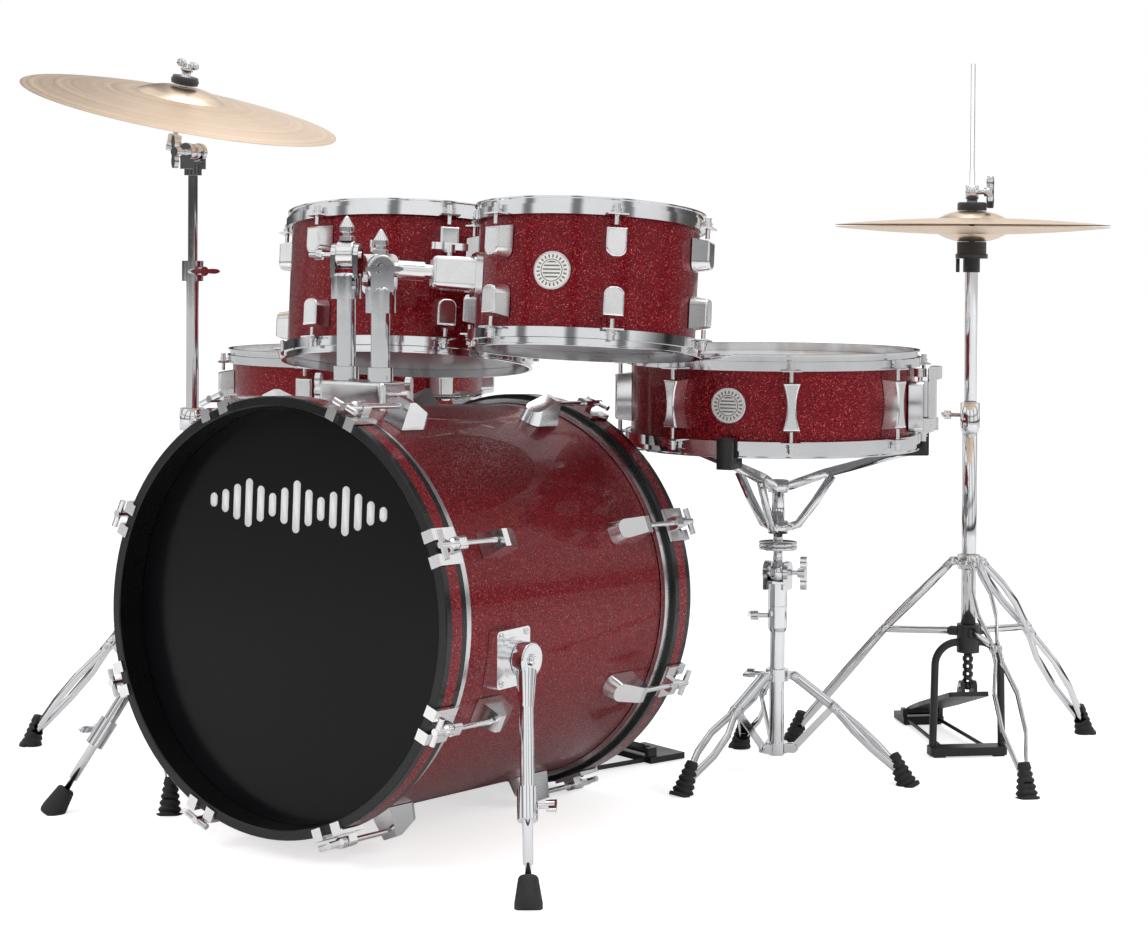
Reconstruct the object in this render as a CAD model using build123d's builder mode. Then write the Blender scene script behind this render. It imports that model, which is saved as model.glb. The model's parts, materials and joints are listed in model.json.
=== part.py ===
from build123d import *
import math
import os

# Acoustic drum kit: 18 in bass drum, 10 in and 12 in toms, 14 in floor tom, 14 in snare,
# 14 in hi-hat and 16 in crash. Millimetres, +Z up, floor at Z = 0, bass drum facing -Y.

wall = 7.0  # plywood shell
steel = 1.8  # pressed hoops, ears and straps
gap = 0.3  # between pieces that touch or slide past each other
pin_clearance = 0.08  # radial, on every hinge pin and sliding tube
rod_offset = 14.0  # tension rods stand this far outside the shell

# bass drum: lying with its front head raised
bass_radius = 228.5
bass_depth = 406.0
bass_hoop_width = 36.0
bass_hoop_radius = 240.0
bass_lean = 2.5
bass_lug_count = 8
bass_rod_radius = 252.0
bass_half = bass_depth / 2
bass_end = bass_half + 1.6 + bass_hoop_width
pedal_jaw = 2.0  # steel plate of the kick pedal under the batter hoop
lean = math.radians(bass_lean)
bass_height = bass_hoop_radius * math.cos(lean) + bass_end * math.sin(lean) + pedal_jaw + 0.3

# hung and standing drums: shell radius, depth, lug count, lug angle, centre, lean of the axis
small_tom = dict(radius=127.0, depth=141.0, lugs=6, phase=16.0)
small_tom_centre = Vector(192, 85, 626)
small_tom_lean = Vector(-0.029, 0.117, 1)
large_tom = dict(radius=152.5, depth=164.0, lugs=6, phase=23.4)
large_tom_centre = Vector(-156, 198, 608)
large_tom_lean = Vector(-0.066, 0.14, 1)
floor_tom = dict(radius=178.0, depth=305.0, lugs=6, phase=-12.4)
floor_tom_centre = Vector(-458, 460, 355)
snare = dict(radius=178.0, depth=100.0, lugs=8, phase=-8.8)
snare_centre = Vector(240, 433, 479)
strainer_angle = 13.7

# tom mount on the bass shell: two upright posts
mount_y = -85.0
mount_top = 513.0
post_spacing = 50.0
post_radius = 11.0
arm_radius = 8.5
bracket_depth = 54.0

# spurs on the bass shell
spur_boss = Vector(256, -122, 227)
spur_foot = Vector(343, -237, 0)
spur_tube_radius = 7.6
spur_rod_radius = 5.4
spur_clamp_fraction = 0.66

# stands: place on the floor and the reach of their legs
snare_stand_place = Vector(247, 438, 0)
snare_stand_reach = 167.0
snare_leg_angles = (-103.8, 16.2, 136.2)
snare_arm_angles = (-76.5, 43.5, 163.5)
snare_collar_height = 128.0
snare_foot_collar_height = 36.0
snare_knee = (73.0, 92.0)
snare_tilt_height = 258.0
hinge_radius = 22.0  # leg pins stand this far from the axis of every tripod
hihat_place = Vector(394, 687, 0)
hihat_reach = 238.0
hihat_leg_angles = (-47.4, 72.6, 192.6)
hihat_pedal_angle = 132.6
hihat_edge_height = 697.0
hihat_rod_step = 770.0  # where the lower pull rod meets the slimmer upper rod
hihat_pull_radius = 3.6
hihat_radius = 178.0
crash_stand_place = Vector(-389, 46, 0)
crash_stand_reach = 258.0
crash_leg_angles = (188.0, -52.0, 68.0)
crash_radius = 203.0
snare_tube_radius = 8.0
hihat_tube_radius = 8.5
crash_centre = Vector(-418, 52, 840)
crash_lean = Vector(0.253, -0.021, 0.967)
crash_tilt_height = 784.0

kick_place = Vector(2, 254, 0)
kick_angle = 73.0
kick_shaft = Vector(16, 0, 112)
kick_beater_lean = 32.0

kit = {}


def keep(name, part, place=Plane.XY):
    """Set a finished piece at its place in the kit under its own name."""
    piece = part.moved(place.location)
    kit[name] = piece
    return piece


def turned(*outline):
    """Solid of revolution about Z from a closed outline of (radius, height) points."""
    with BuildPart() as body:
        with BuildSketch(Plane.XZ):
            with BuildLine():
                Polyline(*outline, close=True)
            make_face()
        revolve(axis=Axis.Z)
    return body.part


def bar(start, end, radius, bore=0.0):
    """Round bar or tube from one point to another."""
    start, end = Vector(*start), Vector(*end)
    with BuildPart() as body:
        with BuildSketch(Plane(origin=start, z_dir=end - start)):
            Circle(radius)
            if bore:
                Circle(bore, mode=Mode.SUBTRACT)
        extrude(amount=(end - start).length)
    return body.part


def block(low, high, rounding=0.0):
    """Box between two corners, with its edges rounded."""
    low, high = Vector(*low), Vector(*high)
    with BuildPart() as body:
        with Locations((low + high) * 0.5):
            Box(high.X - low.X, high.Y - low.Y, high.Z - low.Z)
        if rounding:
            fillet(body.edges(), rounding)
    return body.part


def upright(centre, lean):
    """Plane at a drum's centre whose normal is the drum's axis."""
    axis = lean.normalized()
    across = (Vector(1, 0, 0) - axis * axis.X).normalized()
    return Plane(origin=centre, x_dir=across, z_dir=axis)


def around(centre, angle):
    """Upright plane at a point, with X pointing along a compass angle."""
    turn = math.radians(angle)
    return Plane(origin=centre, x_dir=Vector(math.cos(turn), math.sin(turn), 0), z_dir=(0, 0, 1))


def gathered(*pieces):
    """Several separate solids as one group."""
    solids = []
    for piece in pieces:
        solids.extend(piece.solids())
    return Compound(solids)


def ring_of(part, count, phase, both_ends=False):
    """Copies of a piece round the Z axis, and mirrored to the far end."""
    copies = []
    for place in PolarLocations(0, count, start_angle=phase):
        copies.append(part.moved(place))
    if both_ends:
        copies.extend([copy.mirror(Plane.XY) for copy in list(copies)])
    return copies


def wing_bolt(start, direction, length=26.0):
    """Screw with a two-winged head, pointing out from start."""
    place = Plane(origin=Vector(*start), z_dir=Vector(*direction))
    with BuildPart() as bolt:
        with BuildSketch(place):
            Circle(3)
        extrude(amount=length)
        with BuildSketch(place.offset(length - 6)):
            Circle(6)
        extrude(amount=9)
        with BuildSketch(place.offset(length - 3)):
            with Locations((-12, 0), (12, 0)):
                Ellipse(9, 3.2)
            Rectangle(16, 5)
        extrude(amount=8)
    return bolt.part


# ---------------------------------------------------------------- drums


def shell_of(radius, depth):
    """Shell with 45 degree bearing edges."""
    edge = depth / 2
    bevel = wall - 2
    return turned(
        (radius - wall, -edge + bevel),
        (radius - 2, -edge),
        (radius, -edge),
        (radius, edge),
        (radius - 2, edge),
        (radius - wall, edge - bevel),
    )


def head_of(radius, edge):
    """Film lying on the bearing edge, over its flesh hoop."""
    film = turned((0, edge + gap), (radius + 5.5, edge + gap), (radius + 5.5, edge + 1.2), (0, edge + 1.2))
    flesh = turned(
        (radius + 1, edge + gap - 0.05),
        (radius + 1, edge - 7),
        (radius + 5.5, edge - 7),
        (radius + 5.5, edge + gap - 0.05),
    )
    return gathered(film, flesh)


def flanged_hoop(radius, edge, lugs, phase):
    """Pressed steel hoop: upright wall, step over the flesh hoop, skirt, and an ear at each rod."""
    inner = radius + 2
    skirt = radius + 6
    with BuildPart() as hoop:
        with BuildSketch(Plane.XZ):
            with BuildLine():
                Polyline(
                    (inner, edge + 1.5),
                    (inner, edge + 12),
                    (inner + 4.5, edge + 12),
                    (inner + 4.5, edge + 10.4),
                    (inner + steel, edge + 9.6),
                    (inner + steel, edge + 1.5 + steel),
                    (skirt + steel, edge + 1.5 + steel),
                    (skirt + steel, edge - 8),
                    (skirt, edge - 8),
                    (skirt, edge + 1.5),
                    close=True,
                )
            make_face()
        revolve(axis=Axis.Z)
        with PolarLocations(radius + rod_offset, lugs, start_angle=phase):
            with Locations((0, 0, edge - 8 + steel / 2)):
                Box(15, 24, steel)
                Cylinder(3.2, 3 * steel, mode=Mode.SUBTRACT)
    return hoop.part


def tension_rod(radius, top, bottom):
    """Threaded rod with washer and square key head, standing at the hoop's ear."""
    return turned_at(
        radius,
        (0, bottom),
        (2.6, bottom),
        (2.6, top),
        (6, top),
        (6, top + 1.2),
        (4, top + 1.2),
        (4, top + 3),
        (5.2, top + 3.4),
        (5.2, top + 4.8),
        (3.6, top + 5.2),
        (3.6, top + 11),
        (0, top + 11),
    )


def turned_at(radius, *outline):
    """Turned piece with its axis parallel to Z at a distance along X."""
    return turned(*outline).moved(Location((radius, 0, 0)))


def shield_lug(radius, top, height, width, reach):
    """Cast lug: square shoulder towards the rod, tapering outwards to a rounded nose."""
    with BuildPart() as lug:
        with BuildSketch(Plane.YZ.offset(radius + gap)) as outline:
            with Locations((0, top - height / 2)):
                Rectangle(width, height)
            fillet(outline.vertices().sort_by(Axis.Y)[:2], width * 0.42)
        extrude(amount=reach, taper=9)
        fillet(lug.faces().sort_by(Axis.X)[-1].edges(), 2.5)
    return lug.part


def waisted_lug(radius, height, width, reach):
    """Double-ended cast lug, pinched at its middle."""
    half, side = height / 2, width / 2
    with BuildPart() as lug:
        with BuildSketch(Plane.YZ.offset(radius + gap)):
            with BuildLine():
                Line((-side, half), (side, half))
                ThreePointArc((side, half), (side * 0.55, 0), (side, -half))
                Line((side, -half), (-side, -half))
                ThreePointArc((-side, -half), (-side * 0.55, 0), (-side, half))
            make_face()
        extrude(amount=reach, taper=6)
        fillet(lug.faces().sort_by(Axis.X)[-1].edges(), 2)
    return lug.part


def flanged_drum(name, place, radius, depth, lugs, phase, lug, lug_top, extra=(), rows=2):
    """Shell, two heads, two hoops, and one or two rows of lugs with their tension rods."""
    edge = depth / 2
    keep(f"{name}_shell", shell_of(radius, depth), place)
    head = head_of(radius, edge)
    keep(f"{name}_heads", gathered(head, head.mirror(Plane.XY)), place)
    hoop = flanged_hoop(radius, edge, lugs, phase)
    keep(f"{name}_hoops", gathered(hoop, hoop.mirror(Plane.XY)), place)
    rod = tension_rod(radius + rod_offset, edge - 8 + steel + gap, lug_top + gap)
    metal = ring_of(rod, lugs, phase, both_ends=True) + ring_of(lug, lugs, phase, rows == 2)
    keep(f"{name}_lugs", gathered(*metal, *extra), place)


# ---------------------------------------------------------------- bass drum

bass_place = Plane(
    origin=(0, 0, bass_height),
    x_dir=(1, 0, 0),
    z_dir=(0, -math.cos(lean), math.sin(lean)),
)


def bass_space():
    """The room the shell takes up, which pieces seated on it are cut by."""
    solid = turned((0, -400), (bass_radius + gap, -400), (bass_radius + gap, 400), (0, 400))
    return solid.moved(bass_place.location)


def bass_shell():
    """Shell with the two holes that the tom posts pass through."""
    with BuildPart() as shell:
        add(shell_of(bass_radius, bass_depth).moved(bass_place.location))
        with Locations((-post_spacing / 2, mount_y, mount_top), (post_spacing / 2, mount_y, mount_top)):
            Cylinder(post_radius + 2, 160, mode=Mode.SUBTRACT)
    keep("bass_shell", shell.part)


def bass_heads():
    """Front and batter heads, each with its aluminium flesh hoop."""
    inner, outer = bass_radius + 1, bass_radius + 6
    film = turned((0, bass_half + gap), (outer, bass_half + gap), (outer, bass_half + 1.3), (0, bass_half + 1.3))
    under = bass_half + gap - 0.05
    flesh = turned((inner, under), (inner, bass_half - 12), (outer, bass_half - 12), (outer, under))
    keep("bass_heads", gathered(film, flesh, film.mirror(Plane.XY), flesh.mirror(Plane.XY)), bass_place)


def bass_hoops():
    """Two wooden hoops pressed against the flesh hoops."""
    start = bass_half + 1.6
    with BuildPart() as hoop:
        with BuildSketch(Plane.XY.offset(start)):
            Circle(bass_hoop_radius)
            Circle(bass_radius + 0.5, mode=Mode.SUBTRACT)
        extrude(amount=bass_hoop_width)
        chamfer(hoop.edges().filter_by(GeomType.CIRCLE), 1.2)
    keep("bass_hoops", gathered(hoop.part, hoop.part.mirror(Plane.XY)), bass_place)


def bass_claw():
    """Claw hook: a slotted plate over the hoop, two hooked prongs, and an ear for the T rod."""
    outside = bass_hoop_radius + gap
    front = bass_end + gap
    with BuildPart() as claw:
        with BuildSketch(Plane.XY.offset(front - 34)):
            with Locations((outside + 2, 0)):
                Rectangle(4, 40)
        extrude(amount=37.5)
        with BuildSketch(Plane.XY.offset(front)):
            with Locations((outside - 3, 0)):
                Rectangle(14, 40)
        extrude(amount=3.5)
        with BuildSketch(Plane.YZ.offset(outside - 14)):
            with Locations((0, front - 6)):
                RectangleRounded(15, 26, 5)
        extrude(amount=30, mode=Mode.SUBTRACT)
        with BuildSketch(Plane.XY.offset(front - 34)):
            with Locations((outside + 9, 0)):
                RectangleRounded(16, 15, 4)
            with Locations((bass_rod_radius, 0)):
                Circle(3.4, mode=Mode.SUBTRACT)
        extrude(amount=13)
    return claw.part


def bass_t_rod():
    """Long rod with a collar and a cross handle, reaching from in front of the claw to the lug."""
    end = bass_end + 6
    rod = turned_at(
        bass_rod_radius,
        (0, 150.3),
        (3, 150.3),
        (3, bass_end - 20),
        (6, bass_end - 20),
        (6, bass_end - 12),
        (4, bass_end - 8),
        (4, end),
        (0, end),
    )
    with BuildPart() as body:
        add(rod)
        with BuildSketch(Plane.XZ.offset(-16)):
            with Locations((bass_rod_radius, end - 4)):
                Circle(3.4)
        extrude(amount=32)
    return body.part


def bass_metal():
    """Lugs, and claws with their T rods, at both ends."""
    phase = 180 / bass_lug_count
    with BuildPart() as lug:
        with BuildSketch(Plane.YZ.offset(bass_radius + gap)) as outline:
            with Locations((0, 125)):
                Rectangle(28, 50)
            fillet(outline.vertices().sort_by(Axis.Y)[:2], 12)
        extrude(amount=31, taper=8)
        with BuildSketch(Plane.XZ.offset(-20)):
            with BuildLine():
                Polyline(
                    (bass_radius + 12, 95),
                    (bass_radius + 33, 140),
                    (bass_radius + 33, 95),
                    close=True,
                )
            make_face()
        extrude(amount=40, mode=Mode.SUBTRACT)
    keep("bass_lugs", gathered(*ring_of(lug.part, bass_lug_count, phase, True)), bass_place)
    claws = ring_of(bass_claw(), bass_lug_count, phase, True)
    rods = ring_of(bass_t_rod(), bass_lug_count, phase, True)
    keep("bass_claws", gathered(*claws, *rods), bass_place)


def tom_mount():
    """Cast block saddled on the shell, bored for the two posts, with its wing bolts."""
    with BuildPart() as mount:
        with Locations((0, mount_y, mount_top - 30)):
            Box(94, 50, 60)
        fillet(mount.edges().filter_by(Axis.Z), 8)
        fillet(mount.faces().sort_by(Axis.Z)[-1].edges(), 4)
        add(bass_space(), mode=Mode.SUBTRACT)
        with Locations((-post_spacing / 2, mount_y, mount_top), (post_spacing / 2, mount_y, mount_top)):
            Cylinder(post_radius + pin_clearance, 200, mode=Mode.SUBTRACT)
    bolts = [wing_bolt((47.2 * side, mount_y, mount_top - 14), (side, 0, 0), 18) for side in (-1, 1)]
    keep("tom_mount", gathered(mount.part, *bolts))


# ---------------------------------------------------------------- toms on their arms


def tom_arm_points(centre, lean_axis, post_x):
    """Pivot on the post, and the direction of the arm towards the tom's axis."""
    post = Vector(post_x, mount_y, 0)
    flat = Vector(centre.X - post.X, centre.Y - post.Y, 0)
    across = flat.normalized()
    axis = lean_axis.normalized()
    drop = -(across.X * axis.X + across.Y * axis.Y) / axis.Z
    direction = Vector(across.X, across.Y, drop).normalized()
    pivot = Vector(post.X, post.Y, centre.Z - drop * flat.length)
    return pivot, direction


def tom_holder(name, pivot, direction, reach):
    """Post with its forked top and stop collar, and the arm that tilts in the fork."""
    level = Vector(direction.X, direction.Y, 0).normalized()
    side = level.cross(Vector(0, 0, 1))
    fork_place = Plane(origin=pivot, x_dir=level, z_dir=side)
    with BuildPart() as post:
        with Locations((pivot.X, pivot.Y, (440 + pivot.Z - 40) / 2)):
            Cylinder(post_radius, pivot.Z - 40 - 440)
        with Locations((pivot.X, pivot.Y, mount_top + gap + 8)):
            Cylinder(14.5, 16)
        with Locations((pivot.X, pivot.Y, pivot.Z - 35)):
            Cylinder(17.5, 30)
        fillet(post.edges().group_by(Axis.Z)[-1], 4)
        for cheek in (-16, 10.5):
            with BuildSketch(fork_place.offset(cheek)):
                Circle(13)
                with Locations((0, -13)):
                    Rectangle(26, 26)
            extrude(amount=5.5)
        with BuildSketch(fork_place.offset(-18)):
            Circle(4)
        extrude(amount=36)
    outward = side * math.copysign(1, pivot.X)
    bolt = wing_bolt(pivot + outward * 18.3, outward, 16)
    keep(f"{name}_post", gathered(post.part, bolt))
    with BuildPart() as arm:
        with BuildSketch(fork_place.offset(-10)):
            Circle(16)
        extrude(amount=20)
        fillet(arm.edges(), 2)
        with BuildSketch(Plane(origin=pivot, z_dir=direction)):
            Circle(arm_radius)
        extrude(amount=reach)
        with BuildSketch(Plane(origin=pivot + direction * 19, z_dir=direction)):
            Circle(11)
        extrude(amount=30)
        with BuildSketch(Plane(origin=pivot + direction * (reach - 75), z_dir=direction)):
            RegularPolygon(11, 6)
        extrude(amount=9)
        with BuildSketch(fork_place.offset(-30)):
            Circle(4 + pin_clearance)
        extrude(amount=60, mode=Mode.SUBTRACT)
    acorn = turned((0, 16.3), (9, 16.3), (9, 21), (5, 22), (5, 25), (8.5, 27), (8.5, 32), (2.5, 43), (0, 45))
    keep(f"{name}_arm", gathered(arm.part, acorn.moved(Plane(origin=pivot).location)))


def tom_bracket(place, direction, radius):
    """Clamp block on the shell that slides along the arm, as seen in the tom's own axes."""
    inward = place.to_local_coords(place.origin - direction * 100)
    angle = math.degrees(math.atan2(inward.Y, inward.X))
    start = radius + gap
    with BuildPart() as bracket:
        with BuildSketch(Plane.YZ.offset(start - 4)):
            RectangleRounded(44, 50, 9)
        extrude(amount=10)
        with BuildSketch(Plane.YZ.offset(start + 6)):
            RectangleRounded(34, 40, 8)
        extrude(amount=bracket_depth - 6, taper=2)
        fillet(bracket.faces().sort_by(Axis.X)[-1].edges(), 5)
        with BuildSketch(Plane.YZ.offset(start - 10)):
            Circle(arm_radius + pin_clearance)
        extrude(amount=bracket_depth + 20, mode=Mode.SUBTRACT)
        Cylinder(start, 120, mode=Mode.SUBTRACT)
    bolt = wing_bolt((start + 34, 0, 19.6), (0, 0, 1), 10)
    turn = Location((0, 0, 0), (0, 0, angle))
    return [bracket.part.moved(turn), bolt.moved(turn)]


def hung_tom(name, spec, centre, lean_axis, post_x):
    """A tom with its bracket, arm and post."""
    place = upright(centre, lean_axis)
    pivot, direction = tom_arm_points(centre, lean_axis, post_x)
    distance = (centre - pivot).length
    reach = distance - spec["radius"] - 4
    tom_holder(name, pivot, direction, reach)
    lug_top = spec["depth"] / 2 - 19
    lug = shield_lug(spec["radius"], lug_top, 38, 29, 20)
    bracket = tom_bracket(place, direction, spec["radius"])
    flanged_drum(name, place, lug=lug, lug_top=lug_top, extra=bracket, **spec)


# ---------------------------------------------------------------- floor tom


def floor_tom_drum():
    """Floor tom with three leg brackets and three legs on rubber feet."""
    radius = floor_tom["radius"]
    place = Plane(origin=floor_tom_centre)
    lug_top = floor_tom["depth"] / 2 - 19
    lug = shield_lug(radius, lug_top, 38, 29, 20)
    leg_x = radius + 22
    leg_phase = floor_tom["phase"] + 30
    with BuildPart() as bracket:
        with BuildSketch(Plane.YZ.offset(radius + gap + 0.4)):
            with Locations((0, -40)):
                RectangleRounded(34, 64, 8)
        extrude(amount=34, taper=4)
        with Locations((leg_x, 0, -40)):
            Cylinder(5 + pin_clearance, 120, mode=Mode.SUBTRACT)
    screw = wing_bolt((radius + 35, 0, -40), (1, 0, 0), 14)
    extra = ring_of(bracket.part, 3, leg_phase) + ring_of(screw, 3, leg_phase)
    flanged_drum("floor_tom", place, lug=lug, lug_top=lug_top, extra=extra, **floor_tom)
    floor = -floor_tom_centre.Z
    leg = turned_at(leg_x, (0, floor + 8), (5, floor + 8), (5, 60), (3.5, 62), (0, 62))
    foot = turned_at(
        leg_x,
        (5.1, floor + 7.7),
        (0, floor + 7.7),
        (0, floor),
        (14, floor),
        (15, floor + 4),
        (12, floor + 12),
        (13, floor + 16),
        (9, floor + 38),
        (5.1, floor + 42),
    )
    legs = ring_of(leg, 3, leg_phase) + ring_of(foot, 3, leg_phase)
    keep("floor_tom_legs", gathered(*legs), place)


# ---------------------------------------------------------------- snare drum


def snare_drum():
    """Snare drum with its strainer, throw-off lever, butt plate and wires."""
    radius, edge = snare["radius"], snare["depth"] / 2
    place = Plane(origin=snare_centre)
    across = around(snare_centre, strainer_angle)
    lug = waisted_lug(radius, 60, 27, 20)
    butt = block((-radius - 20, -17, -30), (-radius - 0.9, 17, 20), 4)
    turn = Location((0, 0, 0), (0, 0, strainer_angle))
    flanged_drum("snare", place, lug=lug, lug_top=29.0, extra=(butt.moved(turn),), rows=1, **snare)
    with BuildPart() as strainer:
        with Locations((radius + 10, 0, -6)):
            Box(18, 40, 62)
        fillet(strainer.edges().filter_by(Axis.X), 6)
        with Locations((radius + 24, -13, -28), (radius + 24, 13, -28)):
            Box(14, 5, 16)
        with BuildSketch(Plane.XZ.offset(-17)):
            with Locations((radius + 26, -29)):
                Circle(2.5)
        extrude(amount=34)
    knob = turned((0, 0), (3, 0), (3, 5), (8, 5), (8, 15), (0, 15))
    knob = knob.moved(Location((radius + 11, 0, 25.5)))
    keep("snare_strainer", gathered(strainer.part, knob), across)
    with BuildPart() as lever:
        with Locations((radius + 26, 0, 4)):
            Box(9, 18, 74)
        fillet(lever.edges().filter_by(Axis.Z), 3)
        with Locations((radius + 30, 0, 36)):
            Box(12, 24, 16)
        with BuildSketch(Plane.XZ.offset(-20)):
            with Locations((radius + 26, -29)):
                Circle(2.5 + pin_clearance)
        extrude(amount=40, mode=Mode.SUBTRACT)
    keep("snare_throw_lever", lever.part, across)
    level = -edge - 3
    wires = [bar((-140, step * 3.6, level), (140, step * 3.6, level), 0.8) for step in range(-5, 6)]
    plates = [block((x, -22, level - 1.4), (x + 16, 22, level + 1.4)) for x in (-156.5, 140.5)]
    keep("snare_wires", gathered(*wires, *plates), across)


# ---------------------------------------------------------------- stands


def bellows_foot(height=46.0, radius=15.5):
    """Ribbed rubber foot, base down at the origin."""
    outline = [(0, 0), (radius, 0), (radius, 4)]
    ribs = 5
    pitch = (height - 8) / ribs
    for rib in range(ribs):
        shrink = 1 - 0.09 * rib
        level = 5 + rib * pitch
        outline.append((radius * 0.72 * shrink, level))
        outline.append((radius * 0.88 * shrink, level + pitch * 0.45))
        outline.append((radius * 0.80 * shrink, level + pitch * 0.8))
    outline.append((radius * 0.45, height))
    outline.append((0, height))
    return turned(*outline)


def strap(path, thickness, width):
    """Flat bar bent along a path in the XY plane, standing width along Z."""
    with BuildPart() as body:
        with BuildSketch():
            with BuildLine() as line:
                Polyline(*path)
            trace(line.line, thickness)
        extrude(amount=width / 2, both=True)
    return body.part


def leg_path(length, narrow, wide):
    """One side of a leg between two pins: parts from its twin and comes back to it."""
    return [
        (0, narrow),
        (length * 0.1, narrow),
        (length * 0.34, wide),
        (length * 0.62, wide),
        (length * 0.92, narrow),
        (length, narrow),
    ]


def ribbon(path, width, thickness):
    """Flat bar bent edgewise along a path of (outward, height) points in the XZ plane."""
    with BuildPart() as body:
        with BuildSketch(Plane.XZ.offset(-thickness / 2)):
            with BuildLine() as line:
                Polyline(*path)
            trace(line.line, width)
        extrude(amount=thickness)
    return body.part


def along(start, end, side):
    """Plane at start with X towards end and Y along the sideways direction."""
    x_dir = (end - start).normalized()
    return Plane(origin=start, x_dir=x_dir, z_dir=x_dir.cross(side))


def collar(height, ears, tube_radius):
    """Ring round the tube with an ear for each leg."""
    reach = hinge_radius + 5
    with BuildPart() as ring:
        Cylinder(tube_radius + 5, height)
        for angle in ears:
            spoke = around(Vector(0, 0, 0), angle)
            with BuildSketch(Plane(origin=(0, 0, 0), x_dir=spoke.x_dir, z_dir=spoke.y_dir).offset(-2)):
                with Locations((reach / 2, 0)):
                    RectangleRounded(reach, 11, 4)
            extrude(amount=4)
        Cylinder(tube_radius + pin_clearance, height + 30, mode=Mode.SUBTRACT)
    return ring.part


def tripod_leg(angle, hinge, knee, reach, spreads, foot_lean):
    """One leg: two straps, pinned together at the knee, and the rubber foot."""
    out = Vector(math.cos(math.radians(angle)), math.sin(math.radians(angle)), 0)
    side = Vector(0, 0, 1).cross(out)
    start = out * hinge[0] + Vector(0, 0, hinge[1])
    middle = out * knee[0] + Vector(0, 0, knee[1])
    slope = math.radians(foot_lean)
    foot_base = out * reach
    foot_axis = (Vector(0, 0, 1) * math.cos(slope) - out * math.sin(slope)).normalized()
    toe = foot_base + foot_axis * 17
    straps = []
    for hand in (-1, 1):
        with BuildPart() as bar_pair:
            for low, high, spread in ((start, middle, spreads[0]), (middle, toe, spreads[1])):
                path = [(x, hand * y) for x, y in leg_path((high - low).length, 4.2, spread)]
                add(strap(path, 2.4, 10).moved(along(low, high, side).location))
            for pin in (start, middle):
                add(bar(pin + side * (hand * 2.4), pin + side * (hand * 7.4), 4.5))
        straps.append(bar_pair.part)
    with BuildPart() as foot:
        add(bellows_foot().moved(Plane(origin=foot_base - foot_axis * 4, z_dir=foot_axis).location))
        split(bisect_by=Plane.XY, keep=Keep.TOP)
        socket = (toe - middle).normalized()
        add(bar(toe - socket * 60, toe + socket * 6, 8.4), mode=Mode.SUBTRACT)
    return straps + [foot.part]


def brace(start, end, side):
    """Flat link between the lower collar and the knee of a leg, rounded about its pins."""
    length = (end - start).length
    with BuildPart() as link:
        add(strap([(0, 0), (length, 0)], 3.0, 9).moved(along(start, end, side).location))
        for pin in (start, end):
            add(bar(pin - side * 1.5, pin + side * 1.5, 4.5))
    return link.part


def snare_stand():
    """Folding tripod, its two collars, and the lower tube."""
    upper, lower = snare_collar_height, snare_foot_collar_height
    floor_place = Plane(origin=snare_stand_place)
    tube = 9.5
    inner = snare_tube_radius + pin_clearance
    with BuildPart() as base:
        add(bar((0, 0, lower - 10), (0, 0, 190), tube, inner))
        add(turned((inner, 183), (tube + 1, 183), (tube + 3, 188), (tube + 3, 215), (inner, 215)))
        add(lower_collar(lower, snare_leg_angles, tube))
    bolt = wing_bolt((-10, -8, 203), (-0.8, -0.6, 0), 18)
    keep("snare_stand_tube", gathered(base.part, bolt), floor_place)
    ring = collar(15, snare_leg_angles, tube).moved(Location((0, 0, upper)))
    bolt = wing_bolt((-14.1, -4.5, upper), (-0.95, -0.3, 0), 20)
    keep("snare_stand_collar", gathered(ring, bolt), floor_place)
    for number, angle in enumerate(snare_leg_angles, 1):
        out = Vector(math.cos(math.radians(angle)), math.sin(math.radians(angle)), 0)
        side = Vector(0, 0, 1).cross(out)
        leg = tripod_leg(angle, (hinge_radius, upper), snare_knee, snare_stand_reach, (4.3, 14), 26)
        keep(f"snare_stand_leg_{number}", gathered(*leg), floor_place)
        knee = out * snare_knee[0] + Vector(0, 0, snare_knee[1])
        foot = out * hinge_radius + Vector(0, 0, lower)
        keep(f"snare_stand_brace_{number}", brace(foot, knee, side), floor_place)


def lower_collar(level, ears, tube_radius, height=13.0):
    """Foot collar whose ears stand in pairs beside each brace."""
    reach = hinge_radius + 5
    with BuildPart() as ring:
        with Locations((0, 0, level)):
            Cylinder(tube_radius + 5, height)
        for angle in ears:
            ear_plane = around(Vector(0, 0, level), angle)
            for offset in (-5.2, 2.2):
                with BuildSketch(
                    Plane(origin=(0, 0, level), x_dir=ear_plane.x_dir, z_dir=ear_plane.y_dir).offset(offset)
                ):
                    with Locations((reach / 2, 0)):
                        RectangleRounded(reach, 11, 4)
                extrude(amount=3)
        with Locations((0, 0, level)):
            Cylinder(tube_radius, 60, mode=Mode.SUBTRACT)
    return ring.part


def fixed_tripod(upper, lower, knee, reach, angles, tube_radius):
    """Open tripod: collar, legs, feet and braces, standing on the floor."""
    pieces = [collar(18, angles, tube_radius).moved(Location((0, 0, upper)))]
    for angle in angles:
        out = Vector(math.cos(math.radians(angle)), math.sin(math.radians(angle)), 0)
        side = Vector(0, 0, 1).cross(out)
        pieces.extend(tripod_leg(angle, (hinge_radius, upper), knee, reach, (12, 15), 18))
        start = out * hinge_radius + Vector(0, 0, lower)
        end = out * knee[0] + Vector(0, 0, knee[1])
        pieces.append(brace(start, end, side))
    return pieces


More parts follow.
